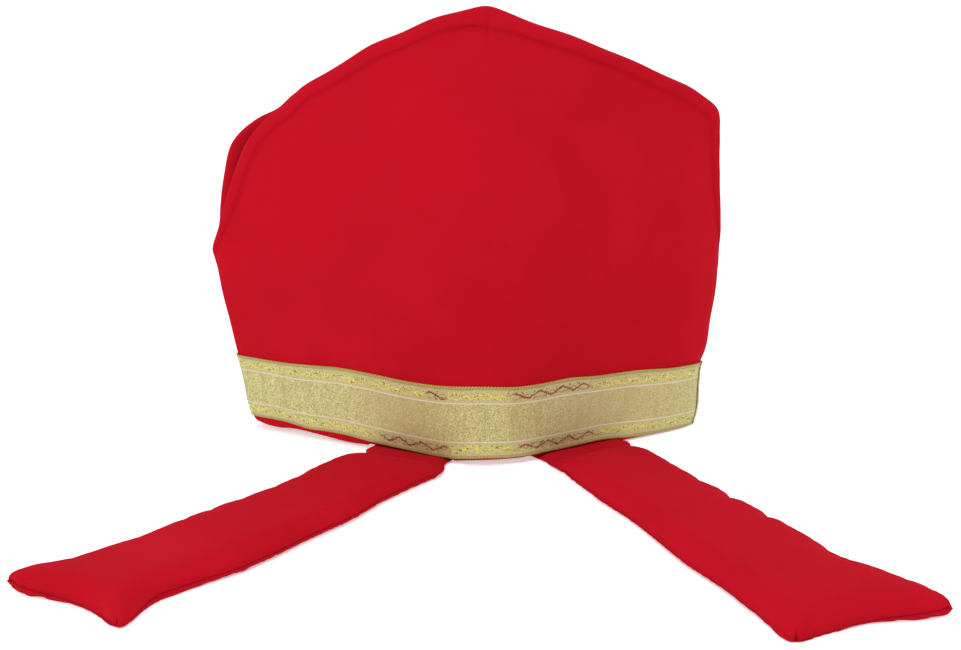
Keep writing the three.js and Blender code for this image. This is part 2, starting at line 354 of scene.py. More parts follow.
def outward(girth, height, side):
    """The level direction out of the crown: the run along the face turned by a right angle.

    Over the last millimetres before a seam it turns into the seam's own direction, X.
    """
    full = half_girth(height)
    girth = np.clip(girth, -full, full)
    step = full / 500
    before = outline(np.maximum(girth - step, -full), height, side)
    after = outline(np.minimum(girth + step, full), height, side)
    run = after - before
    out = np.stack([-side * run[..., 1], side * run[..., 0], 0 * run[..., 0]], axis=-1)
    out /= np.linalg.norm(out, axis=-1, keepdims=True)
    nearness = 1 - smooth((full - np.abs(girth)) / seam_turn_reach)
    across = np.stack([np.sign(girth), 0 * girth, 0 * girth], axis=-1)
    out = mix(out, across, nearness[..., None])
    return out / np.linalg.norm(out, axis=-1, keepdims=True)


middle_girth = half_girth(0.0)
print(f"rim: {4 * middle_girth:.0f} mm round its corners, before rounding")

# %% [markdown]
# ## The free edge
#
# Above the side seams, each panel has a free edge: up over a shoulder, to the peak, and down
# over the other shoulder. On the flat pattern it is five points joined by lines, with rounded
# corners. Moving a place in from that edge gives the stitched line of the roll as well.

# %% The panels' free edge on the flat pattern
full_seam_girth = float(half_girth(seam_height))
edge_points = np.array(
    [
        (-full_seam_girth, seam_height),
        (-127, 181.5),
        (0, peak_height),
        (140, 180),
        (full_seam_girth, seam_height),
    ]
)
edge_reaches = (None, 75, 9, 34, None)
# The edge as it was sewn and pulled: how far it lies in from that line, by distance along it.
fit_places = (0, 28, 45, 66, 80, 87, 99, 112, 130, 145, 160, 180, 196, 214, 226, 245, 262, 286)
fit_places += (320, 350, 364, 378, 395, 430, 457)
fit_insets = (0, -2.2, -1.8, -2.2, -0.6, 0.4, 2.0, 1.4, 2.4, 2.0, 0.7, -0.2, -1.4, -1.1, -0.3)
fit_insets += (0.1, -0.5, -1.4, -1.2, -0.7, -1.0, -3.2, -1.6, 0, 0)
edge_bow = 3
edge_runs = np.diff(edge_points, axis=0)
edge_lengths = np.linalg.norm(edge_runs, axis=1)
edge_ways = edge_runs / edge_lengths[:, None]
edge_starts = np.concatenate([[0], np.cumsum(edge_lengths)])
edge_length = edge_starts[-1]
seam_slide = 0.125


def nearness_of(share):
    """1 at either end of the edge, 0 where the slide along the seam begins."""
    return 1 - (0.5 - np.abs(share - 0.5)) / seam_slide


def free_edge(share, inset):
    """Girth and height at a share of the edge's length, moved in by an inset.

    The polyline's place plus each corner's turn times its rounding, plus the bow, plus the
    inset along the inward normal. Near a seam it slides along the edge onto the seam's line.
    """
    distance = share * edge_length
    line = np.clip(np.searchsorted(edge_starts, distance, side="right") - 1, 0, 3)
    along = edge_ways[line]
    place = edge_points[line] + along * (distance - edge_starts[line])[..., None]
    for corner in (1, 2, 3):
        turn = edge_ways[corner] - edge_ways[corner - 1]
        away = (distance - edge_starts[corner])[..., None]
        place = place + turn * rounding(away, edge_reaches[corner])
        along = along + turn * rounding_slope(away, edge_reaches[corner])
    along = along / np.linalg.norm(along, axis=-1, keepdims=True)
    bowed = edge_bow * hump((distance - edge_starts[1]) / edge_lengths[1])
    girth, height = place[..., 0], place[..., 1] + bowed
    inward = np.stack([along[..., 1], -along[..., 0]], axis=-1)
    nearness = nearness_of(share)
    fit = table(fit_places, fit_insets, distance)
    inset = inset + fit * (1 - smooth(nearness * 4 - 2.4))
    girth = girth + inward[..., 0] * inset
    height = height + inward[..., 1] * inset
    end = np.where(share < 0.5, -1.0, 1.0)
    lean = (seam_top_half_width - rim_half_width) / seam_height
    down = np.stack([-end * lean, -np.ones_like(end)], axis=-1) / math.hypot(lean, 1)
    ahead = (along * down).sum(-1) / (inward * down).sum(-1)
    slide = ahead * inset * smooth(nearness)
    girth = girth + along[..., 0] * slide
    height = height + along[..., 1] * slide
    girth = np.where(nearness >= 1, end * half_girth(height), girth)
    return girth, height


print(f"free edge: {edge_length:.0f} mm of roll on each panel")

# %% [markdown]
# ## Soft cloth is never quite even
#
# A hand-sewn, lightly padded panel waves by a fraction of a millimetre, and thread pulled
# through a roll gathers it. Both are sums of a few sine waves whose lengths don't divide each
# other, so they never seem to repeat, and the result is the same in every run.


# %% Unevenness and gathers
def unevenness(girth, height, side):
    """Slow waves of the cloth, in millimetres: three crossed sines, gone at the rim."""
    waves = 0.34 * np.sin(girth / 19 + height / 41 + side)
    waves = waves + 0.26 * np.sin(girth / 33 - height / 23 + 2 * side)
    waves = waves + 0.16 * np.sin(girth / 11 + height / 14 + 3 * side)
    return waves * smooth(height / 30)


def gathers(distance, phase):
    """Puckers along a stitched line, about -1 to 1: close waves that swell and fade."""
    close = np.sin(distance / 1.45 + 1.8 * np.sin(distance / 9.5 + phase))
    wide = np.sin(distance / 3.1 + 1.3 * np.sin(distance / 17 + 2 * phase))
    swell = 0.55 + 0.45 * np.sin(distance / 27 + 3 * phase)
    return swell * (0.55 * close + 0.45 * wide)


print("gathers at 0, 5 and 10 mm:", gathers(np.array([0.0, 5.0, 10.0]), 0.0).round(2))

# %% [markdown]
# ## The ribbon's path
#
# The ribbon lies just above the hem, with more red cloth below it at the folded seam. Its edges
# wander by a millimetre or two, as hand-sewn ribbon does, so both edges get a short table of
# heights against the girth on the back.

# %% Hem and ribbon edges
ribbon_width = 35
bottom_girths = (-163, -150, -127, -112, -99, -86, -72, -58, -38, -24, -9, 0, 10, 20, 30, 50, 62)
bottom_girths += (72, 84, 96, 110, 130, 163)
bottom_heights = (6.6, 6.6, 6.3, 4.7, 5.2, 5.1, 4.0, 3.3, 2.6, 2.3, 3.2, 3.7, 3.4, 3.2, 3.3)
bottom_heights += (3.4, 3.7, 3.8, 2.9, 1.9, 1.1, 0.6, 0.4)
top_girths = (-163, -143, -120, -98, -87, -66, -47, -30, 0, 18, 30, 48, 62, 92, 116, 130, 163)
top_heights = (41.3, 40.7, 40.2, 40.9, 41.4, 40.6, 39.2, 38.7, 39.6, 38.8, 38.9, 39.5)
top_heights += (38.5, 37.9, 36.3, 36.2, 35.7)
rise_girths = (-163, -154, -143, -136, -128, -113, -104, -87, -76, -60, -30, -22, -12, 0, 12, 21)
rise_girths += (31, 36, 60, 85, 163)
rise_heights = (2.5, 2.6, 1.6, 1.5, 2.3, 2.0, 1.4, 0.5, 0.9, 1.2, 0.6, 0.4, 1.5, 2.1, 2.1, 1.9)
rise_heights += (1.9, 0.8, 0.3, 0.3, 0.2)


def ribbon_edges(girth, side):
    """The ribbon's lower and upper edge: the tables on the back, a straight slope on the front."""
    along = (girth + middle_girth) / (2 * middle_girth)
    if side == FRONT:
        low = mix(bottom_heights[0], bottom_heights[-1], along)
        high = mix(top_heights[0], top_heights[-1], along)
        return low, high
    return table(bottom_girths, bottom_heights, girth), table(top_girths, top_heights, girth)


print("ribbon edges at the back ridge:", *np.round(ribbon_edges(np.array(0.0), BACK), 1), "mm")

# %% [markdown]
# ## Rows of a panel
#
# A panel's grid follows its making: rows start at the rim, climb the cloth along straight lines
# to the stitched line, and cross the roll to the free edge. Rows and columns crowd together
# where the cloth turns sharply and are wide apart where it is nearly flat.

# %% The two parameters of a panel
wall = 4
roll_width = 8
roll_thickness = 6.8
stitched_thickness = 2.9
stitch_fade = 4.5
gather_height = 0.22
edge_rounding = 2.2
front_shoulder_drop = 2.0
front_shoulder_place = 106
front_shoulder_width = 11
seam_fade_reach = 24
stitch_wobble = 0.3
root_headroom = 1.8
rise_rounding = 3
front_rise_reach = 50
crease_width = 1.6
crease_height = 196
crease_rise = 14
root_spans = ((-73.5, -21.7), (31.7, 87.0))
even_columns = 191

seam_steps = np.array([0, 0.25, 0.7, 1.3, 2.0, 3.0, 4.4]) / half_panel
crease_steps = np.array([-2.4, -1.6, -0.9, -0.4, 0, 0.4, 0.9, 1.6, 2.4]) / half_panel
share_even = np.linspace(-1 + seam_steps[-1], 1 - seam_steps[-1], even_columns)
share_even = share_even[np.abs(share_even) > 3.0 / half_panel]
panel_shares = np.unique(
    np.concatenate([-1 + seam_steps, share_even, crease_steps, 1 - seam_steps]).round(7)
)
rim_rows = np.array([0, 0.2, 0.55, 1.0, 1.6, 2.3, 3.2, 4.4, 6.0, 8.0])
body_rows = 1 - (1 - np.linspace(0, 1, 76)[1:-3]) ** 1.06
groove_rows = np.array([0.975, 0.984, 0.991, 0.996, 1.0])
roll_insets = np.array([0.94, 0.86, 0.76, 0.64, 0.5, 0.37, 0.25, 0.15, 0.07, 0.02, 0.0])
row_count = sum(len(rows) for rows in (rim_rows, body_rows, groove_rows, roll_insets))
print(len(panel_shares), "columns,", row_count, "rows")


def rim_rise(girth, side):
    """How far the rim stands off the table: the hem's scallops, and the roots of the lappets."""
    if side == FRONT:
        near_fold = 1 - smooth((girth + middle_girth) / front_rise_reach)
        near_open = 1 - smooth((middle_girth - girth) / front_rise_reach)
        return rise_heights[0] * near_fold + rise_heights[-1] * near_open
    beside = [np.abs(girth - (low + high) / 2) - (high - low) / 2 for low, high in root_spans]
    rises = [1 - smooth(b / rise_rounding) for b in beside]
    scallops = table(rise_girths, rise_heights, girth)
    return np.maximum(scallops, root_headroom * np.maximum(*rises))


def settle(girth, height, share):
    """Keeps the ends of a row on the seam's line, which bends where the rim turns in."""
    straight = mix(middle_girth, full_seam_girth, height / seam_height)
    girth = girth * mix(1, half_girth(height) / straight, np.abs(share))
    return np.where(np.abs(share) > 1 - 1e-6, share * half_girth(height), girth)


def roll_inset(share):
    """The stitched line's distance from the edge: even, and deeper just under the peak."""
    girth = share * full_seam_girth
    return roll_width * (1 + 0.3 * bell(girth, 9)) + 0.25 * np.sin(girth / 13)


def on_panel(share, height):
    """Girth and height where the line from the rim to the stitched line crosses a height."""
    head_girth, head_height = free_edge((share + 1) / 2, roll_inset(share))
    climb = height / head_height
    girth = mix(share * middle_girth, head_girth, climb)
    return settle(girth, height, share), height


# %% [markdown]
# ## The panels
#
# Each panel is two layers of cloth with thin padding between them. A slab with a bevel would
# look like cardboard; a simulation of the whole panel would lose its crisp roll. So the two
# layers are worked out directly: both lie half a thickness from the middle of the wall. The
# thickness falls to nothing along a quarter circle at the rim and at the seams, dips to a thin
# line at the stitching, and swells over the roll.


# %% Panel surfaces
def panel_piece(name, side, phase):
    """A panel from the rim to its free edge, as an outer and an inner layer."""
    share = panel_shares[None, :]
    inset = roll_inset(share)
    past_shoulder = (share + 1) / 2 * edge_length - front_shoulder_place
    drop = (side == FRONT) * front_shoulder_drop * bell(past_shoulder, front_shoulder_width)
    head_girth, head_height = free_edge((share + 1) / 2, inset + drop)
    rise = rim_rise(share * middle_girth, side)
    rim_part = rise + rim_rows[:, None] * (1 - rise / 30)
    last = rim_part[-1:] / head_height
    climbs = mix(last, 1, np.concatenate([body_rows, groove_rows])[:, None])
    climb = np.concatenate([rim_part / head_height, climbs])
    body_height = climb * head_height
    body_girth = mix(share * middle_girth, head_girth, climb)
    body_girth = settle(body_girth, body_height, share + 0 * climb)
    wobble = stitch_wobble * np.sin(share * 37 + phase) * (1 - np.abs(share))
    roll_girth, roll_height = free_edge(
        (share + 0 * roll_insets[:, None] + 1) / 2, inset * roll_insets[:, None] - wobble + drop
    )
    body, roll = slice(0, len(climb)), slice(len(climb), None)
    girth = np.concatenate([body_girth, roll_girth])
    height = np.concatenate([body_height, roll_height])
    share = share + 0 * girth
    seam_girth = half_girth(height[body, 0])
    girth[body, 0], girth[body, -1] = -seam_girth, seam_girth

    from_rim = height - rise
    from_seam = (1 - np.abs(share)) * half_panel
    edge_distance = (share + 1) / 2 * edge_length
    under_stitch = np.full(girth.shape, -1.0)
    under_stitch[body] = np.hypot(girth[body] - head_girth, height[body] - head_height)
    pucker = gathers(edge_distance, phase)

    seam_fade = smooth(from_seam / seam_fade_reach)
    thinned = np.exp(-under_stitch / stitch_fade) * seam_fade
    body_half = wall / 2 * mix(1, stitched_thickness / wall, thinned)
    beside_stitch = np.exp(-np.abs(under_stitch - 4) / 5)
    body_half = body_half + gather_height * pucker * beside_stitch * seam_fade
    across = np.zeros_like(girth)
    across[roll] = 1 - roll_insets[:, None]
    swell = np.sqrt(np.clip(1 - (2 * across - 1) ** 2, 0, 1))
    full_half = mix(wall, roll_thickness, seam_fade) / 2
    roll_half = np.maximum(full_half * swell * (1 + 0.07 * pucker), 0)
    stitched_half = mix(wall, stitched_thickness, seam_fade) / 2 * round_over(1 - across, 0.25)
    roll_half = np.hypot(roll_half, stitched_half * (1 - smooth(across * 2)))
    half = np.where(under_stitch >= 0, body_half, roll_half)
    crease = bell(share * half_panel, crease_width)
    crease = crease * smooth((height - crease_height) / crease_rise)
    half = half * (1 - 0.3 * crease)
    half = half * round_over(from_rim, edge_rounding) * round_over(from_seam, edge_rounding)
    half[-1] = 0

    face = outline(girth, height, side)
    out = outward(girth, height, side)
    wave = unevenness(girth, height, side) * round_over(from_seam, 12)
    centre = (wave - wall / 2)[..., None]
    outer = face + out * (centre + half[..., None])
    inner = face + out * (centre - half[..., None])
    pattern = np.stack([girth, height], axis=-1) * MILLIMETRE
    # The distance from the stitched line, which the finish uses to paint shade in the groove.
    stitch = np.where(under_stitch >= 0, under_stitch, across * inset)
    return closed_skin(name, outer, inner, {"cloth": pattern}, {"from_stitch": stitch})


back_piece = panel_piece("Back_panel_cloth", BACK, 0.4)
front_piece = panel_piece("Front_panel_cloth", FRONT, 2.1)

# %% [markdown]
# ## The ribbon
#
# A flat metallic ribbon is wrapped once round the crown and its ends overlap beside the round
# seam. A copy of the panels' faces moved outwards would have no ends. So its long axis is one
# number, the turn round the crown, a little more than once round; over its own start it is
# lifted by its thickness.

# %% Ribbon sizes
ribbon_thickness = 0.5
selvedge_thickness = 0.9
ribbon_clearance = 0.3
ribbon_start_turn = 0.985
ribbon_overlap_turn = 0.05
lift_turn = 3.985
lift_reach = 6
turn_steps = 880
seam_reach = 3
ribbon_gather = 0.28
# Where the red cloth tells through: turns from the back ridge, and how far each patch goes.
sheer_patches = ((-0.3, 0.17), (0.5, 0.36), (-1.5, 0.3), (-2.2, 0.2), (-2.7, 0.16))
low_red_patches = ((-0.278, 0.16), (0.282, 0.186), (-1.5, 0.2), (-2.2, 0.15))
high_red_patches = ((-0.174, 0.04), (0.23, 0.174), (-1.6, 0.2), (-2.2, 0.1))


def patches(turn, places):
    """Soft bumps at a few turns round the crown, at most 1 together."""
    return np.clip(sum(bell(turn - place, width) for place, width in places), 0, 1)


print("share of the red cloth at the back ridge:", patches(0.0, sheer_patches).round(2))


# %% Ribbon surface
def turn_to_share(turn):
    """A turn from the back ridge, in quarters, to a share of the girth and the panel's side."""
    quarter = np.mod(turn, 4)
    on_front = (quarter > 1) & (quarter < 3)
    share = np.where(on_front, 2 - quarter, np.where(quarter >= 3, quarter - 4, quarter))
    return share, on_front


def ribbon_faces(turn, across):
    """Place and outward direction on the crown under the ribbon, for both panels at once."""
    share, on_front = turn_to_share(turn)
    back_edges = ribbon_edges(share * middle_girth, BACK)
    front_edges = ribbon_edges(share * middle_girth, FRONT)
    low, high = (np.where(on_front, f, b) for f, b in zip(front_edges, back_edges))
    girth, height = on_panel(share, mix(low, high, across))
    place, way = (
        np.where(on_front[..., None], find(girth, height, FRONT), find(girth, height, BACK))
        for find in (outline, outward)
    )
    from_seam = (1 - np.abs(share)) * half_panel
    place[..., 1] *= 1 - seam_gap / 2 / seam_reach * bell(from_seam, seam_reach)
    side = np.where(on_front, FRONT, BACK)
    wave = unevenness(girth, height, side) * round_over(from_seam, 12)
    return place + way * wave[..., None], way


def ribbon_piece():
    """The ribbon as an outer and an inner layer on a grid of turns by widths."""
    near_edge, far_edge = [0, 0.006, 0.018, 0.034, 0.05], [0.95, 0.966, 0.982, 0.994, 1]
    across = np.concatenate([near_edge, np.linspace(0.075, 0.925, 25), far_edge])
    run = ribbon_start_turn - np.linspace(0, 4 + ribbon_overlap_turn, turn_steps)
    end_steps = np.array([0, 0.0006, 0.0018])
    run = np.concatenate([run[0] - end_steps, run[1:-1], run[-1] + end_steps[::-1]])
    turn = run[:, None] + 0 * across[None, :]
    across = across[None, :] + 0 * turn
    face, way = ribbon_faces(turn, across)
    from_end = np.minimum(ribbon_start_turn - turn, turn - run[-1]) * half_panel
    from_side = np.minimum(across, 1 - across) * ribbon_width
    thickness = mix(ribbon_thickness, selvedge_thickness, bell(from_side - 0.7, 0.7))
    thickness = thickness * round_over(from_side, 0.5) * mix(0.25, 1, round_over(from_end, 0.6))
    thickness[:, [0, -1]] = 0
    thickness[[0, -1]] = 0
    line = face[:, face.shape[1] // 2]
    along = np.cumsum(np.linalg.norm(np.diff(line, axis=0, prepend=line[:1]), axis=1))
    lifted = smooth((run[0] - lift_turn - turn) * half_panel / lift_reach + 1)
    pucker = np.clip(gathers(along, 1.7)[:, None], 0, None) * ribbon_gather * hump(across)
    base = ribbon_clearance + pucker + lifted * (ribbon_thickness + 0.15)
    middle = base + ribbon_thickness / 2
    outer = face + way * (middle + thickness / 2)[..., None]
    inner = face + way * (middle - thickness / 2)[..., None]
    pattern = np.stack([along[:, None] + 0 * across, across * ribbon_width], axis=-1)
    redness = mix(patches(turn, low_red_patches), patches(turn, high_red_patches), across)
    shades = {"sheer": patches(turn, sheer_patches), "redness": redness}
    piece = closed_skin("Ribbon_cloth", outer, inner, {"strip": pattern}, shades)
    return piece, along[-1]


ribbon, ribbon_length = ribbon_piece()
print(f"ribbon: {ribbon_length:.0f} mm long, {ribbon_width} mm wide")

# %% [markdown]
# ## The lappets
#
# A lappet is a long flat pad: two strips of cloth sewn together round their edge, turned and
# lightly filled. It is sewn under the rim, bends a little to the side, and flares to two soft
# corners at its end. Its middle line is an arc, and the rest is told by the distance from the
# sewn edge: the seam is a groove, below it the lower layer bulges out and turns under, and
# above it the upper layer rounds over to the nearly flat top.

# %% Lappet shapes
lappet_thickness = 6.9
root_thickness = 1.6
lappet_tab = 3
root_out = 0.3 + 1 + rim_tuck + 3
root_crease = 3.5
root_slope = 24
root_turn_reach = 45
end_curve_reach = 55
# A lappet's half width as a round number, for steps and distances across it.
half_lappet = 27
# Half widths to the two sides and the end's reach, in millimetres, by the distance along.
left_shape = {
    "girth": -46,
    "length": 208,
    "turns": (-26, -36),
    "near": 1,
    "root": (27, 24),
    "phase": 0.7,
    "seam": (0.36, 0.36),
    "groove": 0.9,
    "corners": (1.15, 1.9),
    "along": (0, 6, 12, 18, 24, 30, 37, 45, 53, 64, 78, 87, 93, 106, 118, 130, 142, 152, 161)
    + (169, 175, 181, 186, 190, 194, 198, 202, 207, 213),
    "minus": (24, 19, 15.8, 15, 16.1, 18.4, 20.1, 20.8, 20.9, 20.5, 19.8, 19.6, 20.2, 20.9)
    + (22.9, 23.8, 24.1, 23.7, 23.6, 24.7, 25, 25.4, 26, 26.8, 28.5, 30.6, 33, 36.4, 40),
    "plus": (25, 28, 30.5, 32, 32, 31, 30.2, 29.9, 29.2, 28.8, 29.9, 30.6, 30.7, 29.7, 29.2)
    + (29.7, 29.8, 29.6, 27.7, 26, 24.7, 23.7, 22.8, 23.2, 24.4, 26.4, 29, 32.6, 36.6),
    "end": (3.9, 3, 2.8, 0.8, -1.6, -1.6, -0.3, 3.4, 6.4),
    "pinches": ((-1, 64, 0.5), (-1, 121, 0.6), (1, 90, 0.5), (1, 146, 0.6)),
}
right_shape = {
    "girth": 56,
    "length": 222,
    "turns": (17.5, 18.5),
    "near": -1,
    "root": (24, 30.5),
    "phase": 2.9,
    "seam": (0.2, 0.4),
    "groove": 0.4,
    "corners": (2.0, 1.3),
    "along": (0, 16, 24, 40, 57, 78, 96, 117, 137, 153, 164, 178, 190, 200, 208, 214, 219, 224),
    "minus": (24.5, 24.6, 23.6, 24, 24.9, 25.5, 25, 26, 27.8, 29, 28.8, 28.6)
    + (29.4, 30, 30.8, 32.4, 34.6, 37.2),
    "plus": (33, 27.5, 27.6, 27.8, 27.3, 26.8, 26.2, 26.9, 27.5, 27.3, 26.2, 25.2)
    + (29.2, 31.8, 33.6, 35.1, 36.5, 37.6),
    "end": (3.2, 1.4, -2.2, -3.7, -4.8, -2.7, -0.8, 0.9, 2.8),
    "pinches": ((1, 75, 1.5), (1, 101, 2.0), (1, 127, 1.5), (1, 168, 0.6), (-1, 60, 0.5)),
}
end_shares = (-1, -0.8, -0.55, -0.3, 0, 0.3, 0.5, 0.75, 1)
# The sewn edge in section: how far in and how high, by the cloth's distance from the seam.
section_steps = np.array([0, 0.5, 1.0, 1.6, 2.3, 3.1, 4.1, 5.4, 7.2, 9.6])
upper_insets = np.array([0.5, 0.4, 0.35, 0.4, 0.6, 1.0, 1.8, 3.1, 5.0, 7.4]) - section_steps
upper_fullness = np.array([0, 0.1, 0.24, 0.41, 0.58, 0.73, 0.85, 0.93, 0.985, 1])
lower_insets = np.array([0.3, 0.2, 0.1, 0.05, 0.1, 0.6, 1.7, 3.3, 5.5, 8.4]) - section_steps
lower_fullness = np.array([0, 0.03, 0.16, 0.34, 0.58, 0.82, 0.97, 1, 1, 1])
groove_reach = 0.8
corner_reach = 23
hem_bead = 1.3
root_dip = 1.2
root_dip_width = 0.9
tip_reach = 34
pinch_width = 3.2
# Past each pinch the edge swells out again by a share of it, centred some way further on.
swell_share = 0.35
swell_after = 12
swell_width = 7
pull_reach = 5
side_gather = 0.22
end_gather = 0.2
dome_reach = 14
print("lappets:", left_shape["length"], "and", right_shape["length"], "mm long")


# %% A lappet's plan on the table
def heading(turn):
    """The level direction at a turn from straight back, in radians."""
    return np.stack([np.sin(turn), -np.cos(turn), 0 * turn], axis=-1)


def on_rim(girth, out):
    """A place on the table at a distance out from the back's rim."""
    ground = 0 * girth
    place = outline(girth, ground, BACK)
    place = place + outward(girth, ground, BACK) * np.asarray(out)[..., None]
    place[..., 1] -= BACK * flare(girth, ground, BACK)
    place[..., 2] = 0
    return place


def lappet_plan(shape, along, across, side_in, end_in):
    """The middle line's arc, a step to the side, and the end's own curve, all on the table.

    The step is the share across times the half width of that side, less side_in. Near the
    root the rows turn from the rim's own line to lie square to the middle line.
    """
    first, last = (math.radians(t) for t in shape["turns"])
    length = shape["length"]
    near_end = smooth(1 - (length - along) / end_curve_reach)
    reach = table(end_shares, shape["end"], across) * near_end
    distance = along + reach - end_in
    turn = mix(first, last, distance / length)
    radius = length / (last - first)
    root = on_rim(np.array(float(shape["girth"])), root_out)
    arc_x = radius * (math.cos(first) - np.cos(turn))
    arc_y = radius * (math.sin(first) - np.sin(turn))
    minus, plus = (table(shape["along"], shape[key], distance) for key in ("minus", "plus"))
    half = np.where(across < 0, minus, plus)
    step = across * half - np.sign(across) * side_in
    place = root + np.stack([arc_x, arc_y, 0 * turn], axis=-1)
    place = place + heading(turn + math.pi / 2) * step[..., None]
    slant = on_rim(shape["girth"] + step, root_out) - root
    slant = slant - heading(np.array(first + math.pi / 2)) * step[..., None]
    return place + slant * (1 - smooth(along / root_turn_reach))[..., None]


left_root = on_rim(np.array(float(left_shape["girth"])), root_out)
print("the left lappet leaves the rim at", left_root.round(1))


# %% Lappet surfaces
def lappet_piece(name, shape):
    """A lappet as an upper and a lower layer on a grid of lengths by widths."""
    length = shape["length"]
    side_steps = np.array([0, 0.3, 0.7, 1.2, 1.8, 2.5, 3.3, 4.4, 6.0, 8.0]) / half_lappet
    middle_shares = np.linspace(-1 + side_steps[-1], 1 - side_steps[-1], 24)[1:-1]
    across_row = np.concatenate([-1 + side_steps, middle_shares, (1 - side_steps)[::-1]])
    tab_reach = wall + lappet_tab + root_out
    tab_rows = [-tab_reach, -tab_reach + 1, -11, -9, -7.4, -6.2, -5.8, -5.4, -5, -4.6]
    tab_rows += [-4.2, -3, -1.5]
    end_steps = side_steps * half_lappet
    root_rows = np.array([0, 1, 2, 2.8, 3.5, 4, 4.6, 5.4, 6.5, 8, 10, 12])
    long_rows = np.linspace(root_rows[-1], length - end_steps[-1], 118)[1:-1]
    rows = np.concatenate([tab_rows, root_rows, long_rows, (length - end_steps)[::-1]])
    signed = rows[:, None] + 0 * across_row[None, :]
    across = across_row[None, :] + 0 * signed
    along = np.maximum(signed, 0)

    from_side = (1 - np.abs(across)) * half_lappet
    from_end = length - along
    pucker = gathers(along, shape["phase"] + np.sign(across)) * side_gather
    pinch = 0 * along
    for side, place, amount in shape["pinches"]:
        on_side = np.sign(across) == side
        pinch = pinch + amount * (bell(along - place, pinch_width) * on_side)
        swelling = bell(along - place - swell_after, swell_width)
        pinch = pinch - swell_share * amount * swelling * on_side
    end_pucker = gathers(across * half_lappet, shape["phase"]) * end_gather
    body = smooth((along - root_crease) / root_slope)
    thick = mix(root_thickness, lappet_thickness, body)
    bead = hem_bead * smooth((signed + root_out - 1.5) / 1.4) * (1 - body)
    thick = thick + bead - root_dip * bell(along - root_crease, root_dip_width)
    near_tip = smooth(1 - from_end / tip_reach) * smooth(across * shape["near"] + 0.6)
    seam = mix(*shape["seam"], (across + 1) / 2) * (1 - 0.75 * near_tip) * thick
    corner = (from_side**4 + from_end**4) ** 0.25
    cut = rounding(corner, corner_reach) * mix(*shape["corners"], (across + 1) / 2)

    edges = ((from_side, body, pinch + pucker), (from_end, 1, end_pucker))

    def layer(insets, fullness, sharpness):
        groove = shape["groove"] * sharpness * (1 - 0.9 * near_tip)
        moved_in, full = [], 1
        for away, firm, pulled in edges:
            inset = np.interp(away, section_steps, insets) * mix(0.3, 1, firm)
            inset = inset + groove * np.exp(-away / groove_reach) * firm
            moved_in.append(inset + pulled * np.exp(-away / pull_reach) + cut)
            full = full * np.interp(away, section_steps, fullness)
        return lappet_plan(shape, along, across, *moved_in), full

    upper, upper_full = layer(upper_insets, upper_fullness, 1.0)
    lower, lower_full = layer(lower_insets, lower_fullness, 1.15)
    lower[0], lower[-1] = upper[0], upper[-1]
    lower[:, 0], lower[:, -1] = upper[:, 0], upper[:, -1]
    dome = 0.3 * np.sin(along / 17 + shape["phase"]) + 0.25 * np.sin(across * 2.6 + along / 29)
    dome = dome + 0.5 * (1 - across**2)
    dome = dome * body * smooth(from_side / dome_reach) * smooth(from_end / dome_reach)
    valley = (0.9 * np.maximum(pinch, 0) + pucker) * np.exp(-np.abs(from_side - 3.5) / 4) * body
    upper[..., 2] = mix(seam, thick, upper_full) + dome - valley * upper_full
    lower[..., 2] = seam * (1 - lower_full)
    tab = signed < 0
    root_girth = shape["girth"] + across * np.where(across < 0, *shape["root"])
    rim_place = on_rim(root_girth, root_out + signed)
    root_edge = lappet_plan(shape, 0 * along, across, 0 * along, 0 * along)
    share_in = smooth(-signed / tab_reach)[..., None]
    for surface in (upper, lower):
        moved = rim_place + (root_edge - on_rim(root_girth, root_out + 0 * signed)) * (1 - share_in)
        surface[..., :2] = np.where(tab[..., None], moved[..., :2], surface[..., :2])
    start_full = round_over(signed + tab_reach, 1.5)
    upper[..., 2] = mix(seam, upper[..., 2], start_full)
    lower[..., 2] = mix(seam, lower[..., 2], start_full)
    lower[0] = upper[0]
    pattern = np.stack([across * half_lappet, signed], axis=-1) * MILLIMETRE
    # The root crease counts as a stitched line, so the finish paints shade along it as well.
    from_stitch = np.minimum(np.minimum(from_side, from_end), np.abs(signed - root_crease))
    values = {"from_stitch": from_stitch, "along_stitch": along}
    return closed_skin(name, upper, lower, {"cloth": pattern}, values)


left_lappet = lappet_piece("Left_lappet_cloth", left_shape)
right_lappet = lappet_piece("Right_lappet_cloth", right_shape)

# %% [markdown]
# ## Filling the lappets
#
# Cut and sewn cloth takes its last shape from its filling. That could be guessed with a dome,
# but a cloth simulation finds it: pressure inside swells the two layers between the seams,
# which are held, and the cloth ripples a little beside them. The solver was made for larger
# things, so the lappet is simulated ten times larger and brought back. How far a point may
# move is then faded to a limit, and nothing may sink into the table.

# %% Cloth under pressure
filling_scale = 10
filling_frames = 20
filling_reach = 1.5
filling_cloth = {
    "quality": 5,
    "mass": 0.02,
    "use_pressure": True,
    "uniform_pressure_force": 4.0,
    "shrink_min": -0.012,
}
held_beside_stitch = 0.5
held_from_root = 6


def point_values(mesh, title):
    """A point attribute as an array."""
    values = np.empty(len(mesh.vertices), np.float32)
    mesh.attributes[title].data.foreach_get("value", values)
    return values


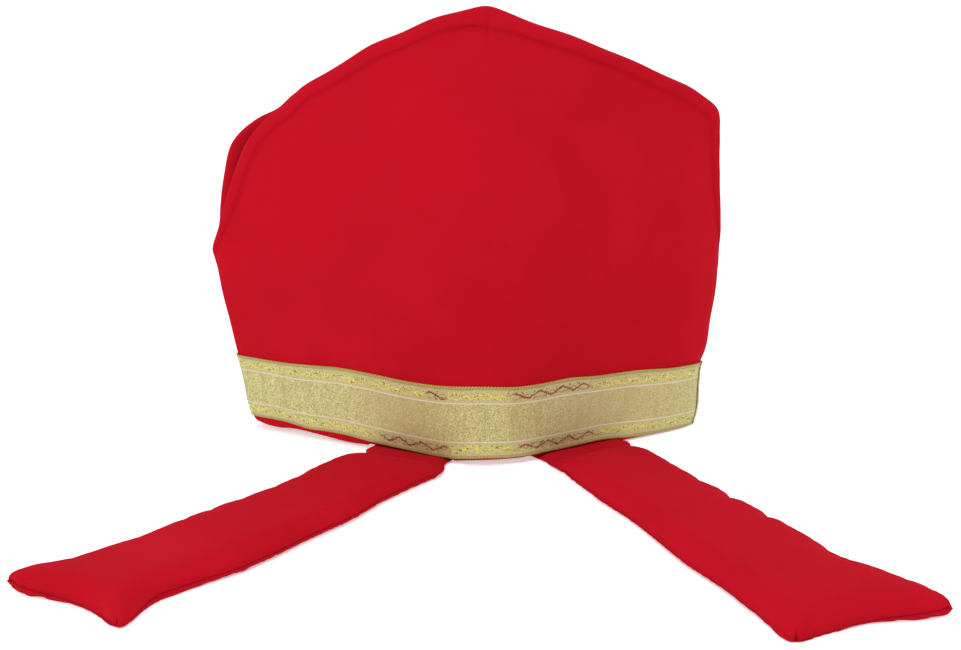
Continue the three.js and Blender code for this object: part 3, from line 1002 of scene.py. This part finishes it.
def fill_out(piece):
    """Swells a piece by cloth under pressure, moved at most filling_reach millimetres."""
    mesh = piece.data
    count = len(mesh.vertices)
    start = np.empty(count * 3, np.float32)
    mesh.vertices.foreach_get("co", start)
    mesh.vertices.foreach_set("co", start * filling_scale)
    still = point_values(mesh, "from_stitch") < held_beside_stitch
    still |= point_values(mesh, "along_stitch") < held_from_root
    held = piece.vertex_groups.new(name="held")
    held.add(np.flatnonzero(still).tolist(), 1.0, "REPLACE")
    cloth = piece.modifiers.new("Filling", "CLOTH")
    for key, value in filling_cloth.items():
        setattr(cloth.settings, key, value)
    cloth.settings.vertex_group_mass = held.name
    cloth.settings.effector_weights.gravity = 0
    cloth.collision_settings.use_collision = False
    scene = bpy.context.scene
    for number in range(1, filling_frames + 1):
        scene.frame_set(number)
    seen = piece.evaluated_get(bpy.context.evaluated_depsgraph_get())
    moved = np.empty(count * 3, np.float32)
    seen.data.vertices.foreach_get("co", moved)
    piece.modifiers.remove(cloth)
    piece.vertex_groups.remove(held)
    scene.frame_set(1)
    start = start.reshape(-1, 3)
    step = moved.reshape(-1, 3) / filling_scale - start
    length = np.maximum(np.linalg.norm(step, axis=1, keepdims=True), 1e-9)
    reach = filling_reach * MILLIMETRE
    placed = start + step / length * reach * np.tanh(length / reach)
    placed[:, 2] = np.maximum(placed[:, 2], 0)
    mesh.vertices.foreach_set("co", placed.astype(np.float32).ravel())
    mesh.update()
    print(f"{piece.name}: moved {length.mean() * 1000:.2f} mm, at most {length.max() * 1000:.2f}")


for lappet in (left_lappet, right_lappet):
    fill_out(lappet)

# %% [markdown]
# ## Shader sums
#
# A procedural finish is arithmetic on places. Wiring each step by hand hides the formula, so a
# small class stands for a socket and turns an ordinary expression into Math nodes. Colours go
# through Mix nodes, because a Math node would turn them grey.


# %% A socket that can be added and multiplied
class Wire:
    """A shader socket in a node tree: each operator on it adds one Math node."""

    def __init__(self, tree, socket=None):
        self.tree = tree
        self.socket = socket

    def node(self, kind, settings=None, inputs=None, output=0):
        """Adds any node: its settings first, then values or wires for its inputs."""
        made = self.tree.nodes.new(kind)
        for name, value in (settings or {}).items():
            setattr(made, name, value)
        for key, value in (inputs or {}).items():
            if isinstance(value, Wire):
                self.tree.links.new(value.socket, made.inputs[key])
            else:
                made.inputs[key].default_value = value
        return Wire(self.tree, made.outputs[output] if len(made.outputs) else None)

    def math(self, operation, *others):
        values = {i: value for i, value in enumerate((self, *others))}
        return self.node("ShaderNodeMath", {"operation": operation}, values)

    def __add__(self, other):
        return self.math("ADD", other)

    __radd__ = __add__

    def __mul__(self, other):
        return self.math("MULTIPLY", other)

    __rmul__ = __mul__

    def __sub__(self, other):
        return self.math("SUBTRACT", other)

    def __rsub__(self, other):
        return self.node("ShaderNodeMath", {"operation": "SUBTRACT"}, {0: other, 1: self})

    def __truediv__(self, other):
        return self.math("DIVIDE", other)

    def __abs__(self):
        return self.math("ABSOLUTE")

    def step(self, low, high):
        """0 below low and 1 above high, with a smooth rise between them."""
        settings = {"interpolation_type": "SMOOTHSTEP"}
        inputs = {"Value": self, "From Min": low, "From Max": high}
        return self.node("ShaderNodeMapRange", settings, inputs)

    def blend(self, low, high):
        """A colour: low where this value is 0 and high where it is 1."""
        settings = {"data_type": "RGBA"}
        return self.node("ShaderNodeMix", settings, {"Factor": self, 6: low, 7: high}, 2)

    def noise(self, scale, detail):
        """Cloudy noise, about a half in the middle, on the places of this wire."""
        inputs = {"Vector": self, "Scale": scale, "Detail": detail}
        return self.node("ShaderNodeTexNoise", inputs=inputs)

    def bump(self, strength):
        """This height as a tilt of the surface, for relief 0.2 mm deep."""
        inputs = {"Strength": strength, "Distance": 0.0002, "Height": self}
        return self.node("ShaderNodeBump", inputs=inputs)

    def stored(self, title):
        """A number that the mesh stores at each point."""
        return self.node("ShaderNodeAttribute", {"attribute_name": title}, output=2)

    def pattern(self, title):
        """A flat map of the mesh: the whole map, then its two numbers apart."""
        whole = self.node("ShaderNodeUVMap", {"uv_map": title})
        first = self.node("ShaderNodeSeparateXYZ", inputs={0: whole})
        return whole, first, Wire(self.tree, first.socket.node.outputs[1])

    def finish(self, inputs):
        """The surface shader with these inputs, joined to the material's output."""
        shader = self.node("ShaderNodeBsdfPrincipled", inputs=inputs)
        self.node("ShaderNodeOutputMaterial", inputs={"Surface": shader})
        print("finish made of", len(self.tree.nodes), "nodes")


def new_finish(name):
    """A material with an empty node tree, as the wire that its nodes start from."""
    material = bpy.data.materials.new(name)
    material.use_nodes = True
    material.node_tree.nodes.clear()
    return material, Wire(material.node_tree)


def linear(red, green, blue):
    """A screen colour from 0 to 255 as the linear colour that a shader takes."""
    shares = np.array([red, green, blue]) / 255
    low = shares / 12.92
    high = ((shares + 0.055) / 1.055) ** 2.4
    return (*(float(x) for x in np.where(shares <= 0.04045, low, high)), 1.0)


print("white is", linear(255, 255, 255))

# %% [markdown]
# ## Red cloth
#
# The cloth is a smooth, matte cotton. Its colour is nearly even, with shade painted darker along
# the stitched grooves and the lappets' root crease, and its threads are too fine to see from afar
# but give the surface its dull, soft light. The weave is two crossed sets of fine waves on the
# piece's own map, so it follows the cloth round each bend.

# %% The cloth's finish
thread_pitch = 0.00055


def cloth_finish():
    """Red cotton: crossed threads for the bump, a soft sheen, faint clouds, painted groove shade.
    """
    material, start = new_finish("Red_cloth")
    _, across, along = start.pattern("cloth")
    place = start.node("ShaderNodeTexCoord", output=3)
    warp = (across * (2 * math.pi / thread_pitch)).math("SINE")
    weft = (along * (2 * math.pi / thread_pitch)).math("SINE")
    slubs = place.noise(900.0, 2.0)
    clouds = place.noise(24.0, 3.0)
    height = warp * weft * 0.5 + slubs * 0.8 + clouds * 0.5
    # Painted shade: the colour darkens towards each stitched line, where shade falls in the groove.
    groove = 1 - start.stored("from_stitch").step(0.2, 2.2)
    groove_shade_red = linear(140, 6, 24)
    main = linear(165, 13, 28)
    light = linear(170, 14, 30)
    colour = clouds.step(0.35, 0.65).blend(main, light)
    colour = (groove * 0.22).blend(colour, groove_shade_red)
    start.finish(
        {
            "Base Color": colour,
            "Roughness": 0.78 + slubs * 0.1,
            "Normal": height.bump(0.25),
            "Specular IOR Level": 0.015,
            "Sheen Weight": 0.02,
            "Sheen Roughness": 0.5,
            "Sheen Tint": (1.0, 0.2, 0.25, 1),
        }
    )
    return material


red_cloth = cloth_finish()

# %% [markdown]
# ## Gold ribbon
#
# The ribbon is woven with flat metallic thread. Across its width it has a dark twisted edge whose
# twists carry painted highlights, a pale border with a wandering thread and small knots, a thin
# white line, and a speckled middle, where the flakes are partly the metal thread's own tones and
# partly painted glints. Here and there the red cloth below shines through. All of it is drawn
# from two numbers, the millimetres along the strip and across it.

# %% The ribbon's finish
border_width = 8.2
wave_middle = 4.7
wave_length = 14.0
wave_height = 1.5


def ribbon_finish():
    """Metallic ribbon: bands by the distance from the nearer edge, and a zigzag in the border."""
    material, start = new_finish("Gold_ribbon")
    strip, along, across = start.pattern("strip")
    reddened = start.stored("redness").step(0.35, 0.6)
    from_edge = across.math("MINIMUM", ribbon_width - across)

    edge_band = 1 - from_edge.step(0.8, 1.1)
    edge_shade = 1 - abs(from_edge - 1.35).step(0.1, 0.4)
    white_line = 1 - abs(from_edge - border_width).step(0.2, 0.42)
    border = 1 - from_edge.step(border_width - 0.3, border_width)

    wander = strip.noise(0.35, 2.0)
    phase = (along + wander * 6) / (wave_length / 2)
    zigzag = phase.math("PINGPONG", 1.0)
    wave = zigzag * (2 * wave_height) - wave_height
    thread = 1 - abs(from_edge - wave_middle - wave).step(0.42, 0.78)
    second = 1 - abs(from_edge - wave_middle + wave * 0.8 - 0.5).step(0.22, 0.5)
    knot_along = phase.math("FRACT") - 0.5
    knot_side = zigzag.math("ROUND") * -2 + 1
    knot_across = (from_edge - wave_middle - knot_side * 1.5) / 0.75
    knot_far = ((knot_along * 9) * (knot_along * 9) + knot_across * knot_across).math("SQRT")
    knots = 1 - knot_far.step(0.7, 1.1)
    sprinkle = strip.noise(1.9, 1.5)
    figure = thread.math("MAXIMUM", knots) * border * sprinkle.step(0.39, 0.47)
    outline_thread = second * border * sprinkle.step(0.46, 0.54)

    glitter = start.node(
        "ShaderNodeTexVoronoi", {"feature": "F1"}, {"Vector": strip, "Scale": 2.1}, output=1
    )
    flake = glitter.node("ShaderNodeSeparateColor", inputs={0: glitter})
    stretched = strip.node(
        "ShaderNodeVectorMath", {"operation": "MULTIPLY"}, {0: strip, 1: (0.16, 0.02, 0.0)}
    )
    streaks = stretched.noise(1.0, 2.0)
    # Flakes of metal thread: partly their own tones, partly painted glints where light would catch.
    pale = linear(167, 158, 104)
    bright = linear(202, 195, 138)
    dull = linear(140, 129, 78)
    tan = linear(168, 147, 99)
    ground = flake.step(0.45, 1.0).blend(pale, bright)
    ground = (1 - flake.step(0.0, 0.3)).blend(ground, dull)
    ground = ((1 - streaks.step(0.3, 0.5)) * 0.35).blend(ground, dull)
    ground = (start.stored("sheer") * 0.6).blend(ground, tan)
    quiet = (border * 0.5).blend(ground, linear(172, 163, 116))
    yellow = linear(214, 202, 84)
    olive = linear(84, 70, 26)
    rust = linear(126, 24, 14)
    figure_colour = reddened.blend(flake.step(0.2, 0.5).blend(olive, yellow), rust)
    colour = figure.blend(quiet, figure_colour)
    colour = (outline_thread * 0.8).blend(colour, reddened.blend(yellow, olive))
    colour = white_line.blend(colour, linear(196, 184, 158))
    # The edge cord's twist: raised in the bump, and painted lighter along each twist as a
    # highlight.
    twist_and_highlight = ((along * 4.2 + across * 4.2).math("SINE") * 0.5 + 0.5).step(0.2, 0.8)
    colour = (edge_shade * 0.6).blend(colour, linear(120, 96, 44))
    colour = edge_band.blend(colour, twist_and_highlight.blend(linear(128, 100, 40), linear(182, 164, 80)))
    height = flake * 0.4 + figure * 1.2 + white_line * 0.8 + edge_band * twist_and_highlight * 1.5
    start.finish(
        {
            "Base Color": colour,
            "Roughness": 0.6 - flake * 0.15,
            "Normal": height.bump(0.5),
            "Metallic": 0.12,
            "Specular IOR Level": 0.3,
        }
    )
    return material


gold_ribbon = ribbon_finish()

# %% [markdown]
# ## White table
#
# The table is even, matte paper. It gives off a little light of its own, so that it stays
# white far from the lamps too.


# %% Floor finish
def floor_finish():
    """White paper: even and matte."""
    material, start = new_finish("White_table")
    start.finish(
        {
            "Base Color": (0.9, 0.9, 0.9, 1),
            "Roughness": 0.9,
            "Emission Color": (1, 1, 1, 1),
            "Emission Strength": 0.28,
        }
    )
    return material


floor.data.materials.append(floor_finish())

# %% [markdown]
# ## Each piece on the body, with its finish
#
# The mitre has no joint, so every piece rides on the one body. Each piece stands for one CAD
# solid, which is then hidden, and gets its finish. The panels and the lappets are padded, and the
# ribbon is a strip of cloth cut to a length; the table lists a slot name and a padding for each
# piece, which the loop does not use.

# %% Pieces, nodes and slots
dressing = (
    (back_piece, "back_panel", red_cloth, "red_cloth", 0.3),
    (front_piece, "front_panel", red_cloth, "red_cloth", 0.3),
    (left_lappet, "lappet_left", red_cloth, "red_cloth", 0.5),
    (right_lappet, "lappet_right", red_cloth, "red_cloth", 0.5),
    (ribbon, "ribbon", gold_ribbon, "gold_ribbon", None),
)
for piece, node, finish, slot, fill in dressing:
    piece.data.materials.append(finish)
    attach(piece, "root")
    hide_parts(node)
print(len(dressing), "pieces stand for", len(frame["nodes"]), "CAD solids")
